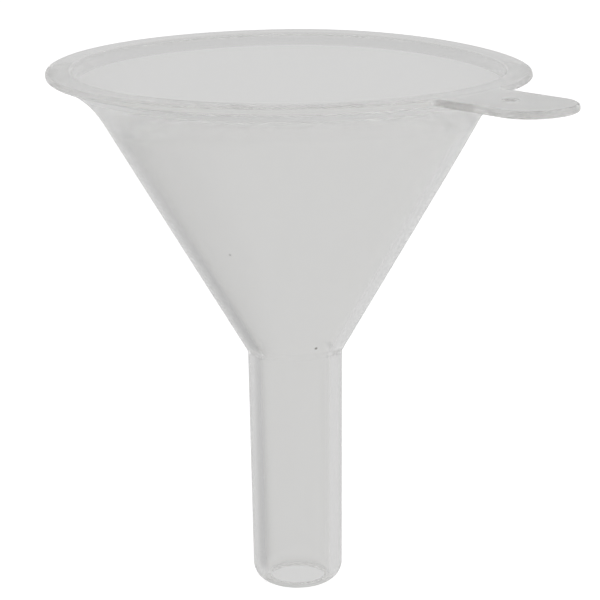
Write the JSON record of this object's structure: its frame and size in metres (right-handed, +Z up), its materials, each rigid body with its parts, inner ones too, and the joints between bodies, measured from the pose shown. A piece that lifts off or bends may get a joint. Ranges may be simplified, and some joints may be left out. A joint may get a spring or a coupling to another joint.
{
  "type": "plain conical funnel",
  "caption": "Translucent plastic filling funnel moulded in one piece, with a 60 degree bowl, a flat lip, a short tapered stem and a flat hanging tab.",
  "frame": {"origin": "on the axis, in the plane where the outside of the bowl meets the stem", "axes": "+Z up along the axis, out of the bowl's mouth; +X towards the hanging tab"},
  "size_m": [0.0927, 0.075, 0.0838],
  "materials": {
    "natural_polypropylene": "translucent, satin moulded surface"
  },
  "bodies": {
    "root": {"funnel": "natural_polypropylene"}
  },
  "joints": []
}
